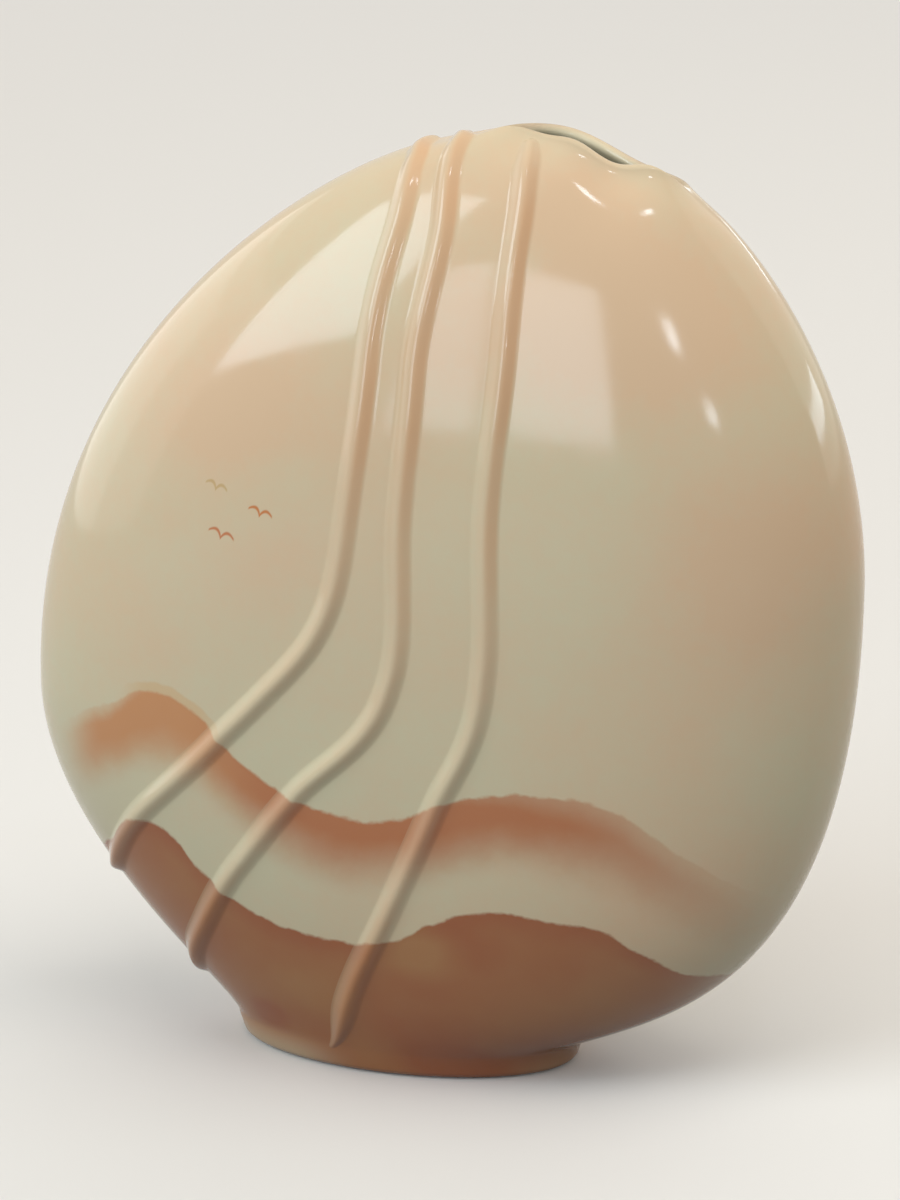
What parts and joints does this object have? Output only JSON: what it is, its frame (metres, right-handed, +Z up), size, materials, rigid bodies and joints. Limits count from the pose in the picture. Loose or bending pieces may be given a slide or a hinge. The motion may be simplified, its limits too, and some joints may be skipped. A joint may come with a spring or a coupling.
{
  "type": "pillow vase",
  "caption": "Lopsided flattened pillow vase with a wavy slot mouth off to one side, a small oval foot and raised ribs curving down its front.",
  "frame": {"origin": "middle of the foot's underside, on the surface that the vase stands on", "axes": "+Z up, -Y out of the front that carries the ribs, +X towards the side that the mouth leans to"},
  "size_m": [0.205, 0.0777, 0.2364],
  "materials": {
    "glazed_clay": "glossy cream glaze over sprayed peach and terracotta washes",
    "foot_clay": "glossy glaze on the side, wiped bare on the underside",
    "rib_glaze": "glossy cream glaze, tinted orange along one flank"
  },
  "bodies": {
    "root": {"front_wall": "glazed_clay", "back_wall": "glazed_clay", "floor": "glazed_clay", "foot_ring": "foot_clay", "rib_left": "rib_glaze", "rib_middle": "rib_glaze", "rib_right": "rib_glaze"}
  },
  "joints": []
}
